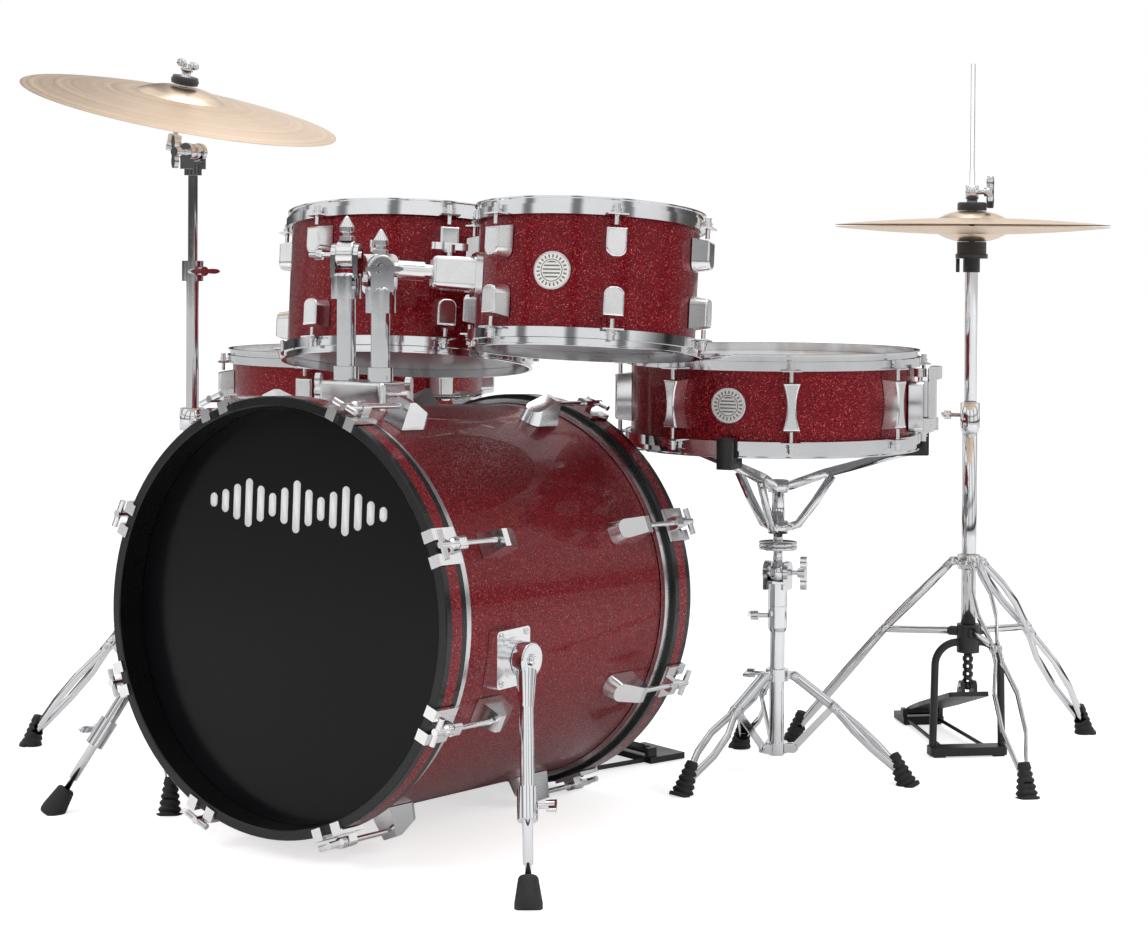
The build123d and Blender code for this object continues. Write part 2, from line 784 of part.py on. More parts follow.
def snare_upper():
    """Height tube with the lower half of the tilter, and the basket that grips the drum."""
    place = around(snare_stand_place, snare_arm_angles[0])
    hinge = snare_tilt_height
    with BuildPart() as tube:
        add(bar((0, 0, 70), (0, 0, hinge - 30), snare_tube_radius))
        with Locations((0, 0, hinge - 28.5)):
            Cylinder(12.5, 28)
        for cheek in (-16, 10.5):
            with BuildSketch(Plane.XZ.offset(cheek)):
                with Locations((0, hinge)):
                    Circle(14)
                with Locations((0, hinge - 11)):
                    Rectangle(24, 22)
            extrude(amount=5.5)
        with BuildSketch(Plane.XZ.offset(-18.5)):
            with Locations((0, hinge)):
                Circle(4)
        extrude(amount=37)
    bolt = wing_bolt((0, 18.8, hinge), (0, 1, 0), 14)
    keep("snare_stand_height_tube", gathered(tube.part, bolt), place)
    with BuildPart() as core:
        with BuildSketch(Plane.XZ.offset(-10)):
            with Locations((0, hinge)):
                Circle(13)
            with Locations((0, hinge)):
                Circle(4 + pin_clearance, mode=Mode.SUBTRACT)
        extrude(amount=20)
        add(bar((0, 0, hinge + 11), (0, 0, hinge + 50), 6))
        add(bar((0, 0, hinge + 49), (0, 0, hinge + 64), 13))
        add(bar((0, 0, hinge + 60), (0, 0, hinge + 104), 8))
        add(bar((0, 0, hinge + 101), (0, 0, hinge + 116), 13))
    rim = snare["radius"] + 6
    offset = place.to_local_coords(Vector(snare_centre.X, snare_centre.Y, 0)) - Vector(0, 0, 0)
    rest = snare_centre.Z - snare["depth"] / 2 - 12
    arms = []
    grips = []
    for angle in snare_arm_angles:
        turn = math.radians(angle - snare_arm_angles[0])
        out = Vector(math.cos(turn), math.sin(turn), 0)
        tip = Vector(offset.X, offset.Y, 0) + out * rim
        flat = tip.normalized()
        plane = Plane(origin=(0, 0, 0), x_dir=flat, z_dir=(0, 0, 1))
        run = tip.length
        arm = [(12, hinge + 108), (60, hinge + 124), (run + 2, rest - 6)]
        link = [(11, hinge + 56), (26, hinge + 60), (48, hinge + 88), (70, hinge + 121)]
        arms.append(ribbon(arm, 11, 6).moved(plane.location))
        arms.append(ribbon(link, 9, 7).moved(plane.location))
        grips.append((plane, run))
    with BuildPart() as basket:
        add(core.part)
        for arm in arms:
            add(arm)
        for level in (hinge + 34, hinge + 29):
            add(bar((0, 0, level), (0, 0, level + 4), 24))
    rubbers = []
    for plane, run in grips:
        hook = [(run - 22, rest - 13), (run + 19, rest - 13), (run + 19, rest + 25)]
        hook.extend([(run + 9, rest + 25), (run + 9, rest - 0.5), (run - 22, rest - 0.5)])
        with BuildPart() as grip:
            with BuildSketch(Plane.XZ.offset(-9)):
                with BuildLine():
                    Polyline(*hook, close=True)
                outline = make_face()
                fillet(outline.vertices(), 2)
            extrude(amount=18)
        with BuildPart() as clear:
            add(grip.part.moved(plane.location))
            add(basket.part, mode=Mode.SUBTRACT)
        rubbers.append(clear.part)
    keep("snare_basket", gathered(basket.part, *rubbers), place)


# ---------------------------------------------------------------- hi-hat


def cymbal(radius, bow, bell_radius, bell, hole, thickness=1.2):
    """Cymbal with its rim at Z = 0: shallow bow, then a domed bell with a centre hole."""
    bow_turn = bell_radius + (radius - bell_radius) * 0.5
    upper = [
        (radius, thickness * 0.4),
        (bow_turn, bow * 0.62 + thickness),
        (bell_radius, bow + thickness),
    ]
    with BuildPart() as body:
        with BuildSketch(Plane.XZ):
            with BuildLine():
                ThreePointArc(upper[0], upper[1], upper[2])
                ThreePointArc(
                    upper[2],
                    (bell_radius * 0.66, bow + bell * 0.72 + thickness),
                    (hole, bow + bell + thickness),
                )
                Line((hole, bow + bell + thickness), (hole, bow + bell))
                ThreePointArc(
                    (hole, bow + bell),
                    (bell_radius * 0.66 - 0.5, bow + bell * 0.72),
                    (bell_radius - 0.8, bow),
                )
                ThreePointArc((bell_radius - 0.8, bow), (bow_turn, bow * 0.62), (radius, 0))
                Line((radius, 0), (radius, thickness * 0.4))
            make_face()
        revolve(axis=Axis.Z)
    return body.part


def hihat_frame():
    """Black casting round the tube, arched frame, radius rods and heel plate."""
    place = around(hihat_place, hihat_pedal_angle)
    tube = hihat_tube_radius + 1.3
    with BuildPart() as base:
        with BuildLine() as arch:
            FilletPolyline((0, -47, 8), (0, -44, 150), (0, 44, 150), (0, 47, 8), radius=30)
        with BuildSketch(Plane(origin=(0, -47, 8), z_dir=(0, 3, 142))):
            Circle(5)
        sweep(path=arch.line)
        with Locations((0, 0, 154)):
            Cylinder(tube + 5, 34)
        ears = [angle - hihat_pedal_angle for angle in hihat_leg_angles]
        add(lower_collar(164, ears, tube, 20))
        with Locations((0, 0, 154)):
            Cylinder(tube, 60, mode=Mode.SUBTRACT)
        with Locations((0, 0, 7.5)):
            Box(26, 104, 11)
        fillet(base.edges().filter_by(Axis.Z).group_by(Axis.Z)[0], 5)
        for side in (-1, 1):
            add(bar((10, side * 30, 8), (206, side * 22, 8), 2.6))
        with Locations((222, 0, 7)):
            Box(50, 58, 10)
        for side in (-1, 1):
            with Locations((207, side * 26, 15)):
                Box(12, 6, 16)
        with BuildSketch(Plane.XZ.offset(-29)):
            with Locations((207, 19)):
                Circle(2.5)
        extrude(amount=58)
    pads = [block((-11, side * 40 - 8, 0), (11, side * 40 + 8, 1.9), 0.6) for side in (-1, 1)]
    pads.append(block((200, -26, 0), (244, 26, 1.9), 0.6))
    keep("hihat_base", gathered(base.part, *pads), place)


def hihat_stand():
    """Fixed tripod, lower tube with its clamp, height tube with the seat, and the rod."""
    place = Plane(origin=hihat_place)
    inner = hihat_tube_radius + pin_clearance
    tube = hihat_tube_radius + 1.3
    pieces = fixed_tripod(256, 164, (114, 160), hihat_reach, hihat_leg_angles, tube)
    lower = bar((0, 0, 152), (0, 0, 426), tube - 0.05, inner)
    clamp = turned((inner, 426.2), (tube + 1, 426.2), (tube + 3, 433), (tube + 3, 465), (inner, 465))
    bolt = wing_bolt((-11.3, -6.6, 449), (-0.86, -0.5, 0), 18)
    keep("hihat_tripod", gathered(lower, clamp, bolt, *pieces), place)
    seat = hihat_edge_height - 1.2 - 19.1
    cup = turned(
        (hihat_tube_radius + 0.1, seat - 40),
        (11, seat - 40),
        (11, seat - 22),
        (21, seat - 22),
        (21, seat - 16),
        (19, seat - 16),
        (19, seat),
        (5, seat),
        (5, seat - 8),
        (hihat_tube_radius + 0.1, seat - 9),
    )
    screw = bar((-15, -10, seat - 40), (-15, -10, seat - 22.2), 2.5)
    rod_tube = bar((0, 0, 170), (0, 0, seat - 9.5), hihat_tube_radius, 4.6)
    keep("hihat_height_tube", gathered(rod_tube, cup, screw), place)
    shape = cymbal(hihat_radius, 8.0, 44.0, 9.5, 6.5)
    lower_place = Plane(origin=hihat_place + Vector(0, 0, hihat_edge_height - 1.2), z_dir=(0, 0, -1))
    upper_place = Plane(origin=hihat_place + Vector(0, 0, hihat_edge_height + 1.2))
    keep("hihat_bottom_cymbal", shape, lower_place)
    keep("hihat_top_cymbal", shape, upper_place)
    bell = hihat_edge_height + 1.2 + 19.4
    bore = hihat_pull_radius + pin_clearance
    clutch = turned(
        (bore, bell - 12),
        (6, bell - 12),
        (6, bell),
        (19, bell),
        (19, bell + 9),
        (17, bell + 11),
        (7, bell + 11),
        (7, bell + 15),
        (8.5, bell + 15),
        (8.5, bell + 33),
        (bore, bell + 33),
    )
    nut = turned((6.2, bell - 11), (11, bell - 11), (11, bell - 4), (6.2, bell - 4))
    with BuildPart() as rod:
        add(bar((0, 0, 130), (0, 0, hihat_rod_step), hihat_pull_radius))
        add(bar((0, 0, hihat_rod_step), (0, 0, hihat_rod_step + 140), 3))
    with BuildPart() as chain:
        for step in range(4):
            with Locations((0, 0, 98 + step * 10)):
                Box(13, 5, 6)
            with Locations((0, 0, 103 + step * 10)):
                Box(8, 9, 5)
        Cylinder(hihat_pull_radius + 0.05, 400, mode=Mode.SUBTRACT)
    screw = wing_bolt((8.7, 0, bell + 24), (1, 0, 0), 16)
    keep("hihat_pull_rod", gathered(rod.part, chain.part, clutch, nut, screw), place)


def foot_board(length, toe_height, heel_height, toe_width, heel_width, bore):
    """Footboard in the XZ plane: heel hinge on the X axis end, toe raised over the origin."""
    slope = math.atan2(toe_height - heel_height, length)
    run = math.hypot(length, toe_height - heel_height)
    place = Plane(
        origin=(length, 0, heel_height),
        x_dir=(-math.cos(slope), 0, math.sin(slope)),
        z_dir=(math.sin(slope), 0, math.cos(slope)),
    )
    with BuildPart() as board:
        with BuildSketch(place):
            with BuildLine():
                Polyline(
                    (4, -heel_width / 2),
                    (run * 0.35, -toe_width / 2),
                    (run, -toe_width / 2),
                    (run, toe_width / 2),
                    (run * 0.35, toe_width / 2),
                    (4, heel_width / 2),
                    close=True,
                )
            make_face()
        extrude(amount=6)
        fillet(board.edges().filter_by(Axis(place.origin, place.z_dir)), 5)
        with BuildSketch(Plane.XZ.offset(-heel_width / 2)):
            with Locations((length, heel_height)):
                Circle(5.5)
        extrude(amount=heel_width)
        with BuildSketch(Plane.XZ.offset(-60)):
            with Locations((length, heel_height)):
                Circle(bore)
        extrude(amount=120, mode=Mode.SUBTRACT)
        ribs = place.offset(6)
        with BuildSketch(ribs):
            with Locations(*[(run * (0.42 + 0.075 * step), 0) for step in range(7)]):
                Rectangle(4, toe_width * 0.72)
        extrude(amount=1.2)
    return board.part


def hihat_pedal():
    """Footboard hinged on the heel plate, with the toe under the rod."""
    board = foot_board(207 + 10, 80, 19, 54, 42, 2.5 + pin_clearance)
    keep("hihat_pedal", board.moved(Location((-10, 0, 0))), around(hihat_place, hihat_pedal_angle))


# ---------------------------------------------------------------- crash cymbal stand


def crash_stand():
    """Tripod with the lower tube, the two sliding tubes, the tilter and the cymbal."""
    place = Plane(origin=crash_stand_place)
    pieces = fixed_tripod(263, 62, (126, 148), crash_stand_reach, crash_leg_angles, 11)
    tube = bar((0, 0, 44), (0, 0, 430), 10.9, 8 + pin_clearance)
    low_collar = lower_collar(62, crash_leg_angles, 11)
    clamp = bar((0, 0, 430.2), (0, 0, 458), 16, 8 + pin_clearance)
    bolt = wing_bolt((15.5, -5, 444), (0.95, -0.3, 0), 16)
    keep("cymbal_stand_base", gathered(tube, low_collar, clamp, bolt, *pieces), place)
    mid = bar((0, 0, 200), (0, 0, 620), 8, 6 + pin_clearance)
    clamp = bar((0, 0, 620.2), (0, 0, 646), 13.5, 6 + pin_clearance)
    bolt = wing_bolt((13, -4, 633), (0.95, -0.3, 0), 14)
    keep("cymbal_stand_mid_tube", gathered(mid, clamp, bolt), place)
    pivot = crash_tilt_height
    with BuildPart() as top:
        add(bar((0, 0, 400), (0, 0, pivot - 20), 6))
        with Locations((0, 0, pivot - 22)):
            Cylinder(11, 14)
        for cheek in (-14, 8.5):
            with BuildSketch(Plane.XZ.offset(cheek)):
                with Locations((0, pivot)):
                    Circle(12)
                with Locations((0, pivot - 10)):
                    Rectangle(18, 22)
            extrude(amount=5.5)
        with BuildSketch(Plane.XZ.offset(-17)):
            with Locations((0, pivot)):
                Circle(3.5)
        extrude(amount=34)
    bolt = wing_bolt((0, -17.3, pivot), (0, -1, 0), 14)
    keep("cymbal_stand_top_tube", gathered(top.part, bolt), place)
    lean_place = upright(crash_centre, crash_lean)
    foot = crash_centre - crash_lean.normalized() * 46
    hinge = crash_stand_place + Vector(0, 0, pivot)
    reach = Vector(foot.X - hinge.X, 0, foot.Z - hinge.Z)
    with BuildPart() as tilter:
        with BuildSketch(Plane(origin=hinge, x_dir=(1, 0, 0), z_dir=(0, -1, 0)).offset(-8)):
            Circle(11)
        extrude(amount=16)
        add(bar(hinge, hinge + reach, 6.5))
        with BuildSketch(Plane(origin=hinge, x_dir=(1, 0, 0), z_dir=(0, -1, 0)).offset(-30)):
            Circle(3.5 + pin_clearance)
        extrude(amount=60, mode=Mode.SUBTRACT)
        add(bar(foot - crash_lean * 8, foot + crash_lean * 12, 9))
        add(bar(foot, foot + crash_lean * 102, 3.5))
    bell = 30.0
    sleeve = turned((3.6, bell - 16), (6, bell - 16), (6, bell + 20), (3.6, bell + 20))
    under = turned((6.2, bell - 12), (18, bell - 12), (19, bell - 8), (18, bell - 4.2), (6.2, bell - 4.2))
    over = turned((6.2, bell + 3.4), (17, bell + 3.4), (18, bell + 8), (16, bell + 13), (6.2, bell + 13))
    washer = turned((3.6, bell - 22), (14, bell - 22), (14, bell - 16.3), (3.6, bell - 16.3))
    with BuildPart() as nut:
        add(turned((3.6, bell + 20.3), (8, bell + 20.3), (8, bell + 24), (5.5, bell + 32), (3.6, bell + 32)))
        with BuildSketch(Plane.XZ.offset(-2)):
            with Locations((-11, bell + 29), (11, bell + 29)):
                Ellipse(7, 5)
        extrude(amount=4)
        Cylinder(3.6, 400, mode=Mode.SUBTRACT)
    fittings = [piece.moved(lean_place.location) for piece in (sleeve, under, over, washer, nut.part)]
    keep("cymbal_tilter", gathered(tilter.part, *fittings))
    keep("crash_cymbal", cymbal(crash_radius, 16.0, 58.0, 12.0, 6.6), lean_place)


# ---------------------------------------------------------------- spurs


def spurs():
    """Brackets on the shell, folding legs, and the rods with their rubber feet."""
    boss, foot = spur_boss, spur_foot
    along_leg = (foot - boss).normalized()
    length = (foot - boss).length
    place = Plane(origin=boss, x_dir=(0, 1, 0), z_dir=(1, 0, 0))
    leg_place = Plane(origin=boss, z_dir=along_leg)
    with BuildPart() as bracket:
        with Locations((226, boss.Y, boss.Z)):
            Box(28, 60, 62)
        fillet(bracket.edges().filter_by(Axis.X), 5)
        with BuildSketch(place.offset(-26)):
            Circle(22)
        extrude(amount=13)
        with BuildSketch(place.offset(-14)):
            Circle(19)
        extrude(amount=7)
        with BuildSketch(place.offset(-10)):
            Circle(4.5)
        extrude(amount=24)
        with BuildSketch(place.offset(9.3)):
            Circle(6.5)
        extrude(amount=3)
        add(bass_space(), mode=Mode.SUBTRACT)
    with BuildPart() as leg:
        with BuildSketch(place.offset(-6.7)):
            Circle(19)
        extrude(amount=15.7)
        fillet(leg.edges(), 2)
        with BuildSketch(leg_place.offset(14)):
            Circle(spur_tube_radius + 4)
        with BuildSketch(leg_place.offset(56)):
            Circle(spur_tube_radius)
        loft()
        with BuildSketch(leg_place.offset(55)):
            Circle(spur_tube_radius)
        extrude(amount=length * spur_clamp_fraction - 55)
        with BuildSketch(leg_place.offset(length * spur_clamp_fraction - 34)):
            Circle(spur_tube_radius + 3.2)
        extrude(amount=34)
        with BuildSketch(leg_place.offset(24)):
            Circle(spur_rod_radius + pin_clearance)
        extrude(amount=length, mode=Mode.SUBTRACT)
        with BuildSketch(place.offset(-20)):
            Circle(4.5 + pin_clearance)
        extrude(amount=60, mode=Mode.SUBTRACT)
    clamp = boss + along_leg * (length * spur_clamp_fraction - 15)
    outward = (Vector(0.8, 0.5, 0) - along_leg * along_leg.dot(Vector(0.8, 0.5, 0))).normalized()
    bolt = wing_bolt(clamp + outward * (spur_tube_radius + 3.5), outward, 14)
    ferrule = foot - along_leg * 46
    with BuildPart() as rod:
        add(bar(boss + along_leg * 70, ferrule, spur_rod_radius))
        add(bar(ferrule, foot - along_leg * 14, 3.4))
    rubber_outline = turned(
        (0, 0), (13, 0), (14.5, 3), (14.5, 9), (10.5, 34), (9, 36), (3.6, 36), (3.6, 12), (0, 12)
    )
    with BuildPart() as rubber:
        add(rubber_outline.moved(Plane(origin=foot + along_leg * 3, z_dir=-along_leg).location))
        split(bisect_by=Plane.XY, keep=Keep.TOP)
    right = dict(
        spur_leg=gathered(leg.part, bolt),
        spur_foot=gathered(rod.part, rubber.part),
    )
    for name, piece in right.items():
        keep(f"right_{name}", piece)
        keep(f"left_{name}", gathered(piece.mirror(Plane.YZ)))
    keep("spur_brackets", gathered(bracket.part, bracket.part.mirror(Plane.YZ)))


# ---------------------------------------------------------------- kick pedal

def kick_pedal():
    """Frame clamped on the batter hoop, footboard, and beater on its shaft."""
    place = around(kick_place, kick_angle)
    with BuildPart() as frame:
        with Locations((4, 0, pedal_jaw / 2)):
            Box(74, 78, pedal_jaw)
        with Locations((23, 0, 6)):
            Box(36, 96, 8)
        for side in (-1, 1):
            with Locations((16, side * 44, 64)):
                Box(22, 8, 116)
            with BuildSketch(Plane.XZ.offset(-side * 44 - 4)):
                with Locations((16, 112)):
                    Circle(12)
            extrude(amount=8)
            add(bar((36, side * 30, 5), (168, side * 30, 5), 3))
        with BuildSketch(Plane.XZ.offset(-60)):
            with Locations((16, 112)):
                Circle(5 + pin_clearance)
        extrude(amount=120, mode=Mode.SUBTRACT)
        with Locations((188, 0, 5)):
            Box(58, 80, 8)
        for side in (-1, 1):
            with Locations((164, side * 34, 13)):
                Box(14, 7, 16)
        with BuildSketch(Plane.XZ.offset(-37)):
            with Locations((164, 17)):
                Circle(2.5)
        extrude(amount=74)
    jaw = block((-34, -14, 16.8), (-8, 14, 24), 2)
    keep("kick_pedal_frame", gathered(frame.part, jaw), place)
    board = foot_board(164 - 34, 58, 17, 66, 56, 2.5 + pin_clearance)
    keep("kick_pedal_board", board.moved(Location((34, 0, 0))), place)
    tilt = math.radians(kick_beater_lean)
    up = Vector(math.sin(tilt), 0, math.cos(tilt))
    with BuildPart() as beater:
        with BuildSketch(Plane.XZ.offset(-54)):
            with Locations((16, 112)):
                Circle(5)
        extrude(amount=108)
        with BuildSketch(Plane.XZ.offset(-13)):
            with Locations((16, 112)):
                Circle(14)
        extrude(amount=26)
        add(bar(kick_shaft - up * 30, kick_shaft + up * 148, 3.6))
    felt_place = Plane(origin=kick_shaft + up * 150, x_dir=(0, 1, 0), z_dir=Vector(-up.Z, 0, up.X))
    with BuildPart() as felt:
        with BuildSketch(felt_place.offset(-24)):
            Circle(21)
        extrude(amount=48)
        fillet(felt.faces().sort_by(Axis.X)[0].edges(), 10)
        add(beater.part, mode=Mode.SUBTRACT)
    keep("kick_pedal_beater", gathered(beater.part, felt.part), place)


# ---------------------------------------------------------------- the kit


def build_kit():
    """Every piece in its place, then the whole kit centred over the origin."""
    bass_shell()
    bass_heads()
    bass_hoops()
    bass_metal()
    tom_mount()
    spurs()
    hung_tom("small_tom", small_tom, small_tom_centre, small_tom_lean, post_spacing / 2)
    hung_tom("large_tom", large_tom, large_tom_centre, large_tom_lean, -post_spacing / 2)
    floor_tom_drum()
    snare_drum()
    snare_stand()
    snare_upper()
    hihat_frame()
    hihat_stand()
    hihat_pedal()
    crash_stand()
    kick_pedal()
    boxes = [piece.bounding_box() for piece in kit.values()]
    low = Vector(min(box.min.X for box in boxes), min(box.min.Y for box in boxes), 0)
    high = Vector(max(box.max.X for box in boxes), max(box.max.Y for box in boxes), 0)
    return (low + high) * -0.5


centring = build_kit()
os.makedirs("parts", exist_ok=True)
for name, piece in kit.items():
    placed = piece.moved(Location(centring))
    placed.label = name
    export_step(placed, f"parts/{name}.step")
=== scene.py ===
import functools
import json
import math
import bmesh
import bpy
from mathutils import Matrix, Vector


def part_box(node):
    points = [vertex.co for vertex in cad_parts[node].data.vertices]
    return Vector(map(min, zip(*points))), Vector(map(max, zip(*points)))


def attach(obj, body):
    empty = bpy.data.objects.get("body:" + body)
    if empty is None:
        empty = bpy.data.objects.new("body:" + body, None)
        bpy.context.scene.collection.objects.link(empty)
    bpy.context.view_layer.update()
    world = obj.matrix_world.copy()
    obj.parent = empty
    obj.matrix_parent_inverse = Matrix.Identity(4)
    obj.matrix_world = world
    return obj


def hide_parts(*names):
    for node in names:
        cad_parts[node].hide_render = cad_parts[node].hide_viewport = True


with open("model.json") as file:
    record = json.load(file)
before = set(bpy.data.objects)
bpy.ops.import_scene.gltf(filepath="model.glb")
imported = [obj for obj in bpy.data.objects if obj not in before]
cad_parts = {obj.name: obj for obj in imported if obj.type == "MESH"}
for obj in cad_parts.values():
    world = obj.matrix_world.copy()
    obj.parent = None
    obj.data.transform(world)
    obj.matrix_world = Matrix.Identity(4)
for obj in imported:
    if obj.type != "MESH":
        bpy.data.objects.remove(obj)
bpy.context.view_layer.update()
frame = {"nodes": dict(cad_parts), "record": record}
nodes = frame["nodes"]
behaviour = frame["record"]["behaviour"]
joints = {joint["name"]: joint for joint in behaviour["joints"]}
body_of = {name: body for body, names in behaviour["bodies"].items() for name in names}
scene = bpy.context.scene

# ------------------------------------------------------------------ places read from the frame


@functools.cache
def corners(name):
    """Low and high corners of a CAD node's box."""
    low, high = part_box(name)
    return Vector(low), Vector(high)


def middle(name):
    """Centre of a CAD node's box."""
    low, high = corners(name)
    return (low + high) / 2


def pivot(name):
    """Point that a joint turns about."""
    return Vector(joints[name]["pos_m"])


UP = Vector((0, 0, 1))
BASS_LEAN = math.radians(2.5)
BASS_AXIS = Vector((0, -math.cos(BASS_LEAN), math.sin(BASS_LEAN)))
BASS_UP = Vector((0, math.sin(BASS_LEAN), math.cos(BASS_LEAN)))
BASS_R = (corners("bass_shell")[1] - corners("bass_shell")[0]).x / 2
TOM_AXIS = {
    "small_tom": Vector((-0.029, 0.117, 1)).normalized(),
    "large_tom": Vector((-0.066, 0.14, 1)).normalized(),
    "floor_tom": UP,
    "snare": UP,
}
TOM_R = {"small_tom": 0.127, "large_tom": 0.1525, "floor_tom": 0.178, "snare": 0.178}
CRASH_AXIS = Vector((0.253, -0.021, 0.967)).normalized()
bass = middle("bass_shell")
hat = middle("hihat_top_cymbal")
crash_pin = pivot("crash_spin")

# ------------------------------------------------------------------ camera


def camera():
    yaw, pitch, roll = 0.5995, 0.0184, 0.0062
    stand = Vector((bass.x, bass.y, 0)) + Vector((1.7186, -2.1756, 0.6688))
    look = Vector((-math.sin(yaw) * math.cos(pitch), math.cos(yaw) * math.cos(pitch), -math.sin(pitch)))
    level = Vector((math.cos(yaw), math.sin(yaw), 0))
    rise = level.cross(look)
    right = math.cos(roll) * level + math.sin(roll) * rise
    up = math.cos(roll) * rise - math.sin(roll) * level
    data = bpy.data.cameras.new("camera")
    data.sensor_width = 36
    data.lens = 74.32
    data.shift_y = -0.1525
    data.clip_end = 100
    made = bpy.data.objects.new("camera", data)
    made.matrix_world = Matrix.Translation(stand) @ Matrix((right, up, -look)).transposed().to_4x4()
    scene.collection.objects.link(made)
    scene.camera = made


camera()

# ------------------------------------------------------------------ material helpers


class Nodes:
    """A node tree, with short calls for the nodes used here."""

    def __init__(self, tree):
        self.tree = tree
        tree.nodes.clear()

    def feed(self, socket, value):
        """Link an output to a socket, or set the socket's own value."""
        if hasattr(value, "is_output"):
            self.tree.links.new(value, socket)
        elif socket.type == "RGBA":
            socket.default_value = (*value, 1)
        else:
            socket.default_value = value

    def add(self, kind, fields=None, **inputs):
        """New node. An input is given by name, or as i and its number."""
        made = self.tree.nodes.new("ShaderNode" + kind)
        for key, value in (fields or {}).items():
            setattr(made, key, value)
        for key, value in inputs.items():
            numbered = key[0] == "i" and key[1:].isdigit()
            self.feed(made.inputs[int(key[1:]) if numbered else key.replace("_", " ")], value)
        return made

    def node(self, kind, output=0, fields=None, **inputs):
        """One output of a new node."""
        return self.add(kind, fields, **inputs).outputs[output]

    def math(self, operation, a, b=0.0):
        return self.node("Math", fields={"operation": operation}, i0=a, i1=b)

    def scaled_sum(self, value, factor, addend):
        return self.node("Math", fields={"operation": "MULTIPLY_ADD"}, i0=value, i1=factor, i2=addend)

    def vector(self, operation, a, b=(0, 0, 0), output=0):
        return self.node("VectorMath", output, {"operation": operation}, i0=a, i1=b)

    def scaled(self, vector, factor):
        return self.node("VectorMath", fields={"operation": "SCALE"}, i0=vector, Scale=factor)

    def ramp(self, value, low, high, to_low=0.0, to_high=1.0):
        """Value carried from one range to another, and held at its ends."""
        return self.node("MapRange", i0=value, i1=low, i2=high, i3=to_low, i4=to_high)

    def within(self, value, centre, half):
        """1 where a value is nearer than half to centre, else 0."""
        away = self.math("ABSOLUTE", self.math("SUBTRACT", value, centre))
        return self.math("LESS_THAN", away, half)

    def stripes(self, value, rate, threshold):
        """1 on evenly spaced bars of a value, else 0."""
        wave = self.math("SINE", self.math("MULTIPLY", value, rate))
        return self.math("GREATER_THAN", wave, threshold)

    def mix(self, factor, a, b):
        """Colour between a and b by factor."""
        return self.node("Mix", 2, {"data_type": "RGBA"}, i0=factor, i6=a, i7=b)

    def blend(self, factor, a, b):
        """Number between a and b by factor."""
        return self.node("Mix", i0=factor, i2=a, i3=b)


class Shader(Nodes):
    """A principled material."""

    def __init__(self, name):
        self.material = bpy.data.materials.new(name)
        self.material.use_nodes = True
        super().__init__(self.material.node_tree)
        self.bsdf = self.add("BsdfPrincipled")
        self.add("OutputMaterial", i0=self.bsdf.outputs[0])
        self.place = self.node("TexCoord", "Object")

    def set(self, **values):
        """Feed the principled node's inputs, and give the finished material."""
        for key, value in values.items():
            self.feed(self.bsdf.inputs[key.replace("_", " ")], value)
        return self.material

    def noise(self, scale, detail=3.0, rough=0.5, place=None):
        return self.node("TexNoise", Vector=place or self.place, Scale=scale, Detail=detail, Roughness=rough)

    def bump(self, height, distance, strength=1.0):
        return self.node("Bump", Height=height, Distance=distance, Strength=strength)

    def axial(self, origin, axis):
        """Height of each point along an axis, and its distance from it."""
        offset = self.vector("SUBTRACT", self.place, tuple(origin))
        height = self.vector("DOT_PRODUCT", offset, tuple(axis), output=1)
        across = self.vector("SUBTRACT", offset, self.scaled(tuple(axis), height))
        return height, self.vector("LENGTH", across, output=1)


def wear(s, scale=14.0):
    """Soft smudges and fine hairline wear, from 0 to 1."""
    smudge = s.math("MULTIPLY", s.noise(scale, 4.0, 0.6), 0.75)
    hair = s.math("MULTIPLY", s.noise(420.0, 2.0, 0.7), 0.25)
    return s.math("ADD", smudge, hair)


def flakes(s, dark, mid, light):
    """Colour and tilted normal of metal flakes under clear wrap."""
    cells = s.node("TexVoronoi", 1, Vector=s.place, Scale=950.0)
    spread = s.node("SeparateColor", 0, Color=cells)
    second = s.node("SeparateColor", 1, Color=cells)
    base = s.mix(s.ramp(spread, 0.0, 0.75), dark, mid)
    sparse = s.ramp(s.noise(900.0, 1.0), 0.4, 0.6)
    bright = s.math("MULTIPLY", s.ramp(second, 0.86, 1.0), sparse)
    tilt = s.scaled(s.vector("SUBTRACT", cells, (0.5, 0.5, 0.5)), 0.42)
    normal = s.vector("NORMALIZE", s.vector("ADD", s.node("NewGeometry", "Normal"), tilt))
    return s.mix(bright, base, light), normal


# ------------------------------------------------------------------ materials

WRAP = ((0.055, 0.001, 0.004), (0.30, 0.007, 0.018), (0.95, 0.26, 0.20))
WHITE = (0.72, 0.72, 0.70)
CLEAR = (0.30, 0.30, 0.31)
INK = (0.0045, 0.0045, 0.0055)
FLESH_HOOP_GAP = 0.0012
HOOP_CENTRE = 0.203 + 0.0016 + 0.018
HOOP_INLAY_HALF = 0.0085
HOOP_INLAY_RADIUS = 0.2385


def red_sparkle():
    s = Shader("red_sparkle")
    colour, normal = flakes(s, *WRAP)
    return s.set(
        Base_Color=colour,
        Metallic=0.7,
        Roughness=s.ramp(wear(s), 0.3, 0.7, 0.28, 0.38),
        Normal=normal,
        Specular_IOR_Level=0.2,
        Coat_Weight=0.55,
        Coat_Roughness=0.015,
        Coat_IOR=1.33,
    )


def chrome(name="chrome", tint=(0.86, 0.87, 0.89), rough=(0.045, 0.13)):
    s = Shader(name)
    worn = wear(s)
    return s.set(
        Base_Color=s.mix(s.ramp(worn, 0.35, 0.7), tint, tuple(c * 0.90 for c in tint)),
        Metallic=1.0,
        Roughness=s.ramp(worn, 0.35, 0.75, *rough),
        Normal=s.bump(s.noise(900.0, 2.0), 0.00001, 0.15),
    )


